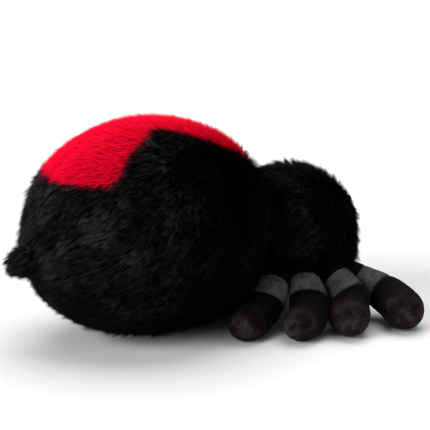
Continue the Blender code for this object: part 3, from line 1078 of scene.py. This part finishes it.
@dataclass
class Leg:
    """One stuffed velour leg in three sewn lengths, bent over from the head to the floor.

    A place is an angle from the toy's front in degrees, a radius from the head's middle and a
    height. The foot has an angle, a radius and a size. The seams are the two seams' parts of the
    leg's length and the lean of the lower one in radians.
    """

    number: int
    side: Side
    head_x: float
    places: tuple[Place, ...]
    foot: Place
    seams: Place
    dark: bpy.types.Material
    grey: bpy.types.Material
    stations: tuple[float, ...] = (0.0, 0.20, 0.50, 1.0)
    halves: tuple[float, ...] = (0.0070, 0.0099, 0.0122, 0.0127)
    half_parts: tuple[float, ...] = (0.0, 0.20, 0.50, 0.90)
    foot_half: float = 0.0119
    foot_gap: float = 0.2 * MM
    flatness: float = 0.93
    toe_reach: float = 0.0142
    toe_round: float = 2.4
    toe_dip: float = 0.25
    toe_before: float = -0.12
    toe_after: float = 0.02
    toe_turns: tuple[float, float, float] = (4.0, 90.0, 4.3)
    line_steps: int = 40
    end_steps: int = 30
    nudge: float = 0.01
    around: int = 48
    steps: int = 14
    skew_reach: float = 0.15
    seam_dip: float = 0.7 * MM
    seam_reach: float = 1.3 * MM
    seam_gap: float = 0.12 * MM
    cap_share: float = 0.75
    folds: float = 13.0
    fold_height: float = 0.16 * MM
    lump: float = 0.22 * MM
    lump_waves: float = 75.0
    lump_seed: int = 60
    # painted highlight at the toe: where it starts and ends along the foot, and how strong and wide it is at
    # the very tip
    highlight_edge: Span = (-11.0 * MM, 12.0 * MM)
    tip_highlight: float = 0.8
    tip_size: float = 7.5 * MM
    fill: float = 0.85

    def spot(self, place: Place) -> np.ndarray:
        """Turn an angle, a radius and a height into a point of the toy's frame."""
        turn = math.radians(place[0])
        across = self.side.value * place[1] * math.sin(turn)
        return np.array([self.head_x + place[1] * math.cos(turn), across, place[2]])

    def on_line(self, part: float) -> np.ndarray:
        """Return a point of the leg's middle line, from 0 at the root to 1."""
        angle, radius, size = self.foot
        foot = (angle, radius, self.foot_half * size * self.flatness + self.foot_gap)
        at = np.zeros(3)
        for place, own in zip((*self.places, foot), self.stations):
            shares = [(part - other) / (own - other) for other in self.stations if other != own]
            at += self.spot(place) * math.prod(shares)
        return at

    def middle_line(self, part: float) -> tuple[np.ndarray, np.ndarray]:
        """Return a point of the leg's middle line and its direction there."""
        return self.on_line(part), unit(self.on_line(part + self.nudge) - self.on_line(part - self.nudge))

    def half(self, part: float) -> float:
        """Return half the leg's width at a part of its length, up to the widest part of the foot."""
        size = np.interp(part, (self.stations[2], self.half_parts[-1]), (1.0, self.foot[2]))
        return float(np.interp(part, self.half_parts, self.halves) * size)

    def toe(self) -> list[tuple[np.ndarray, np.ndarray, float]]:
        """Return the middle, direction and half width of each ring from the widest part to the tip."""
        widest = self.half_parts[-1]
        line = [self.on_line(part) for part in np.linspace(widest, 1.0, self.line_steps)]
        end, along = self.middle_line(1.0)
        flat = unit(along * [1.0, 1.0, self.toe_dip])
        steps = np.linspace(0.0, 1.0, self.end_steps)[1:]
        line += [end + flat * self.toe_reach * step for step in steps]
        line = np.array(line)
        run = np.concatenate([[0.0], np.cumsum(np.linalg.norm(np.diff(line, axis=0), axis=1))])
        rings = []
        for turn in np.radians(np.arange(*self.toe_turns)):
            at, before, after = (
                np.array([np.interp(run[-1] * min(math.sin(turn) + shift, 1.0), run, row) for row in line.T])
                for shift in (0.0, self.toe_before, self.toe_after)
            )
            half = self.half(widest) * (1.0 - math.sin(turn) ** self.toe_round) ** (1.0 / self.toe_round)
            rings.append((at, unit(after - before), half))
        return rings

    def section(
        self, at: np.ndarray, along: np.ndarray, half: float, pucker: float = 0.0, skew: float = 0.0
    ) -> np.ndarray:
        """Return a ring of points round the middle line.

        Args:
            at: The ring's middle.
            along: The leg's direction there.
            half: Half the ring's width.
            pucker: How strongly the seam gathers the cloth, from 0 to 1.
            skew: How far the ring leans along the leg for each metre across it.

        Returns:
            Rows of points.
        """
        across = unit(np.cross(along, UP))
        over = unit(np.cross(across, along))
        turn = circle(self.around)
        folds = self.fold_height * pucker * np.sin(self.folds * turn + 2.0 * self.number)
        wide = (half + folds)[:, None]
        ring = at + (across + along * skew) * np.cos(turn)[:, None] * wide
        ring += over * np.sin(turn)[:, None] * wide * self.flatness
        lumps = self.lump * ripple(ring, self.lump_waves, self.lump_seed + self.number)
        return ring + unit(ring - at) * lumps[:, None]

    def stretch(self, start: float, end: float, tip: bool) -> list[np.ndarray]:
        """Return the rings of one sewn length, drawn in at its seams.

        Args:
            start: Where it starts along the leg.
            end: Where it ends.
            tip: Whether it ends in the rounded tip of the foot.

        Returns:
            Rings of points, the first and last ones closing the ends.
        """
        span = float(np.linalg.norm(self.on_line(1.0) - self.on_line(0.0)))
        gap = self.seam_gap / span
        rings = []
        for step in range(self.steps + 1):
            part = start + gap + (end - start - 2.0 * gap) * step / self.steps
            at, along = self.middle_line(part)
            near = (part - start) * span
            if not tip:
                near = min(near, (end - part) * span)
            draw = hump(near, self.seam_reach)
            skew = math.tan(self.seams[2]) * hump(part - self.seams[1], self.skew_reach)
            rings.append(self.section(at, along, self.half(part) - self.seam_dip * draw, draw, skew))
            if step == 0:
                rings.insert(0, self.section(at, along, self.half(part) * self.cap_share, 0.0, skew))
        if not tip:
            rings.append(self.section(at, along, self.half(end) * self.cap_share, 0.0, skew))
            return rings
        return rings + [self.section(*ring) for ring in self.toe()]

    def toe_highlight(self, points: np.ndarray) -> np.ndarray:
        """Return how strongly a painted highlight lightens the nap at the toe, most at its very end."""
        end, along = self.middle_line(1.0)
        level = unit(along * [1.0, 1.0, 0.0])
        away = np.linalg.norm(points - end - level * self.toe_reach, axis=1)
        most = 1.0 + self.tip_highlight * hump(away, self.tip_size)
        return smooth_step(*self.highlight_edge, (points - end) @ level) * most

    def build(self) -> list[bpy.types.Object]:
        """Build and dress the leg's three lengths."""
        made = []
        stem = f"{self.side.name.lower()}_{self.number}"
        upper, lower, _ = self.seams
        for label, start, end, finish, slot in (
            ("upper", 0.0, upper, self.dark, Slot.VELOUR_DARK),
            ("band", upper, lower, self.grey, Slot.VELOUR_GREY),
            ("foot", lower, self.half_parts[-1], self.dark, Slot.VELOUR_DARK),
        ):
            tip = label == "foot"
            rings = self.stretch(start, end, tip)
            points = tube_points(rings)
            piece = make_mesh(f"sewn_{stem}_{label}", points, tube_faces(len(rings), self.around))
            if tip:
                # painted highlight: the toe is painted paler towards its end
                add_numbers(piece, "toe_highlight", self.toe_highlight(points))
            attach(piece, finish, f"leg_{stem}_{label}")
            made.append(piece)
        return made


@dataclass
class Face:
    """The glossy eyes and the two small velour fangs.

    The middle of a fang's root lies inside its solid's box by the lengths of fang_root, from the
    rear and from the top. Its tip lies inside by those of fang_end, from the front and from below.
    """

    plastic: bpy.types.Material
    velour: bpy.types.Material
    places: tuple[str, ...] = ("upper_outer", "upper_inner", "lower_outer", "lower_inner")
    fang_root: Span = (3.6 * MM, 1.2 * MM)
    fang_end: Span = (2.0 * MM, 0.8 * MM)
    fang_half: float = 4.3 * MM
    fang_least: float = 0.12 * MM
    fang_bow: float = 0.9 * MM
    fang_taper: float = 0.62
    fang_waist: float = 0.12
    fang_rings: int = 13
    fang_around: int = 28
    fang_fill: float = 0.9

    def eye_box(self, side: Side, place: str) -> tuple[np.ndarray, float]:
        """Return an eye's middle and radius from its solid."""
        low, high = (np.array(corner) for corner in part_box(f"eye_{side.name.lower()}_{place}"))
        return (low + high) / 2.0, float((high - low)[2]) / 2.0

    def eyes(self) -> list[tuple[np.ndarray, float]]:
        """Return the middles and radii of all the eyes."""
        return [self.eye_box(side, place) for side in Side for place in self.places]

    def build(self) -> list[bpy.types.Object]:
        """Build the eyes and fangs."""
        made = []
        for side in Side:
            for place in self.places:
                name = f"{side.name.lower()}_{place}"
                eye = round_bead(f"bead_{name}", *self.eye_box(side, place))
                attach(eye, self.plastic, f"eye_{name}")
                made.append(eye)
            made.append(self.build_fang(side))
        return made

    def build_fang(self, side: Side) -> bpy.types.Object:
        """Build one fang as a curved, tapering velour cone inside its solid's box."""
        name = f"fang_{side.name.lower()}"
        low, high = (np.array(corner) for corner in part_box(name))
        middle = (low[1] + high[1]) / 2.0
        top = np.array([low[0] + self.fang_root[0], middle, high[2] - self.fang_root[1]])
        tip = np.array([high[0] - self.fang_end[0], middle, low[2] + self.fang_end[1]])
        along = unit(tip - top)
        across = unit(np.cross(along, UP))
        over = unit(np.cross(across, along))
        turn = circle(self.fang_around)[:, None]
        rings = []
        for part in np.linspace(0.0, 1.0, self.fang_rings):
            at = top + (tip - top) * part + np.array([self.fang_bow, 0.0, 0.0]) * math.sin(math.pi * part)
            taper = (1.0 - part) ** self.fang_taper * (1.0 - self.fang_waist * part)
            half = self.fang_half * taper + self.fang_least
            rings.append(at + across * np.cos(turn) * half + over * np.sin(turn) * half)
        fang = make_mesh(f"sewn_{name}", tube_points(rings), tube_faces(len(rings), self.fang_around))
        attach(fang, self.velour, name)
        return fang


def round_bead(name: str, at: np.ndarray, radius: float, rings: int = 24) -> bpy.types.Object:
    """Make a smooth bead.

    Args:
        name: The object's name.
        at: Its middle.
        radius: Its radius.
        rings: How many bands it has from pole to pole.

    Returns:
        The bead.
    """
    bpy.ops.mesh.primitive_uv_sphere_add(segments=2 * rings, ring_count=rings, radius=radius)
    bead = bpy.context.active_object
    bead.name = name
    bead.data.transform(Matrix.Translation(Vector(at)))
    bead.data.shade_smooth()
    return bead


@dataclass
class Studio:
    """The floor, the soft lights and the camera.

    A light has a name, an azimuth, an elevation and a softness in degrees, and a strength.
    """

    azimuth: float = -30.0
    elevation: float = 13.0
    aim: Place = (0.00537, -0.01946, 0.07118)
    distance: float = 1.1
    lens: float = 153.5
    sensor: float = 36.0
    clip_start: float = 0.05
    floor_half: float = 20.0
    world_strength: float = 0.20
    lights: tuple[tuple[str, float, float, float, float], ...] = (
        ("key", -84.0, 22.0, 40.0, 3.0),
        ("fill", 40.0, 25.0, 50.0, 0.30),
        ("top", 150.0, 65.0, 60.0, 2.1),
    )

    def build(self) -> None:
        """Build the whole studio."""
        self.build_floor()
        self.build_lights()
        self.build_camera()
        bpy.context.scene.view_settings.view_transform = "Standard"

    def build_floor(self) -> None:
        """Lay the pale floor."""
        signs = ((-1.0, -1.0, 0.0), (1.0, -1.0, 0.0), (1.0, 1.0, 0.0), (-1.0, 1.0, 0.0))
        corners = self.floor_half * np.array(signs)
        floor = make_mesh("studio_floor", corners, [np.array([[0, 1, 2, 3]])])
        floor.data.materials.append(FloorFinish("floor_pale").material())

    @staticmethod
    def hang(
        name: str, data: bpy.types.ID, azimuth: float, elevation: float
    ) -> tuple[bpy.types.Object, Vector]:
        """Add a light or camera that looks at the toy.

        Args:
            name: Its name.
            data: The light or camera.
            azimuth: Where it hangs round the toy, in degrees.
            elevation: How high it hangs, in degrees.

        Returns:
            The object, and the direction from the toy towards it.
        """
        turn, rise = math.radians(azimuth), math.radians(elevation)
        toward = Vector((math.sin(turn) * math.cos(rise), -math.cos(turn) * math.cos(rise), math.sin(rise)))
        made = bpy.data.objects.new(name, data)
        made.rotation_euler = toward.to_track_quat("Z", "Y").to_euler()
        bpy.context.scene.collection.objects.link(made)
        return made, toward

    def build_lights(self) -> None:
        """Hang the soft lights and light the world."""
        for name, azimuth, elevation, softness, strength in self.lights:
            light = bpy.data.lights.new(name, "SUN")
            light.angle = math.radians(softness)
            light.energy = strength
            self.hang(name, light, azimuth, elevation)
        world = bpy.data.worlds.new("studio")
        world.use_nodes = True
        sky = world.node_tree.nodes["Background"].inputs
        sky["Color"].default_value = (1.0, 1.0, 1.0, 1.0)
        sky["Strength"].default_value = self.world_strength
        bpy.context.scene.world = world

    def build_camera(self) -> None:
        """Set the camera at the photograph's viewing angle."""
        lens = bpy.data.cameras.new("camera")
        lens.lens = self.lens
        lens.sensor_width = self.sensor
        lens.clip_start = self.clip_start
        camera, toward = self.hang("camera", lens, self.azimuth, self.elevation)
        camera.location = Vector(self.aim) + toward * self.distance
        bpy.context.scene.camera = camera


HEAD_BALL = Ball(at=(0.0730, 0.0, 0.0540), half=(0.0436, 0.0434, 0.0420), lean=-0.0028, sag=5.8)
ABDOMEN_BALL = Ball(at=(-0.0300, 0.0, 0.0667), half=(0.0784, 0.0666, 0.0667), lean=0.0018, sag=2.5)
NUB_BALL = Ball(at=(-0.1032, 0.0, 0.0546), half=(0.0200, 0.0135, 0.0120), lean=0.0, sag=2.0)

LEG_PLACES = {
    4: ((134.0, 0.031, 0.0300), (135.6, 0.0433, 0.0270), (138.3, 0.0564, 0.0190)),
    3: ((107.5, 0.031, 0.0300), (111.5, 0.0397, 0.0268), (111.0, 0.0500, 0.0188)),
    2: ((81.5, 0.031, 0.0300), (80.3, 0.0402, 0.0265), (81.0, 0.0494, 0.0186)),
    1: ((53.5, 0.031, 0.0300), (53.6, 0.0440, 0.0235), (55.0, 0.0596, 0.0170)),
}
SEAMS = {
    4: (0.26, 0.56, math.radians(10.0)),
    3: (0.21, 0.51, math.radians(-8.0)),
    2: (0.20, 0.545, math.radians(20.0)),
    1: (0.20, 0.50, 0.0),
}
FEET = {
    4: (141.8, 0.0794, 0.95),
    3: (117.5, 0.0740, 0.93),
    2: (93.7, 0.0724, 0.99),
    1: (67.4, 0.0823, 1.04),
}


def main() -> None:
    """Build the toy piece by piece and report each one."""
    logging.basicConfig(level=logging.INFO, format="%(message)s")
    black = FurFinish(
        "pile_black", root=(0.0002, 0.00015, 0.0004), body=(0.0009, 0.0007, 0.0022),
        tip=(0.1130, 0.1020, 0.1080), specular=0.04, contrast=2.6,
    )
    red = FurFinish(
        "pile_red", root=(0.80, 0.0005, 0.024), body=(0.86, 0.0005, 0.031),
        tip=(0.90, 0.0020, 0.044), specular=0.03, contrast=1.0,
    )
    dark = VelourFinish(
        "velour_dark", deep=(0.0014, 0.0007, 0.0012), light=(0.0370, 0.0250, 0.0290),
        sheen=0.01, sheen_tint=(1.0, 0.75, 0.82), fleck=900.0, brushed=150.0, crisp=0.20,
        uneven=0.75, highlight_base=0.01, highlight_gain=0.95,
    ).material()
    grey = VelourFinish(
        "velour_grey", deep=(0.014, 0.014, 0.0142), light=(0.102, 0.100, 0.099),
        sheen=0.05, sheen_tint=(1.0, 1.0, 1.0), fleck=1500.0,
    ).material()
    face = Face(GlossFinish("eye_gloss").material(), grey)
    cloth = {"fur": black, "backing": BackingFinish("backing_cloth")}
    parts = [
        Abdomen(
            name="abdomen", ball=ABDOMEN_BALL, **cloth, red_fur=red, head=HEAD_BALL, nub=NUB_BALL,
            pile=Pile(strands=112000, locks=6800, wisps=42000, length=10.0 * MM, depth=7.3 * MM,
                      pressed=0.14, sunk=1.8 * MM, seed=11),
        ),
        Head(
            name="head", ball=HEAD_BALL, **cloth, eyes=tuple(face.eyes()),
            pile=Pile(strands=36000, locks=2400, wisps=14000, length=9.0 * MM, depth=8.0 * MM, seed=23),
        ),
        Spinnerets(
            name="spinnerets", ball=NUB_BALL, **cloth, rings=24,
            pile=Pile(strands=3600, locks=180, wisps=1000, length=8.0 * MM, depth=4.6 * MM,
                      rise_root=40.0, rise_tip=25.0, lie=(-1.0, 0.0, -0.60), seed=5),
        ),
    ]
    parts += [
        Leg(number, side, HEAD_BALL.at[0], places, FEET[number], SEAMS[number], dark=dark, grey=grey)
        for side in Side for number, places in LEG_PLACES.items()
    ]
    parts.append(face)
    for part in parts:
        for piece in part.build():
            log.info("%s: %d faces", piece.name, len(piece.data.polygons))
    Studio().build()


if __name__ == "__main__":
    main()
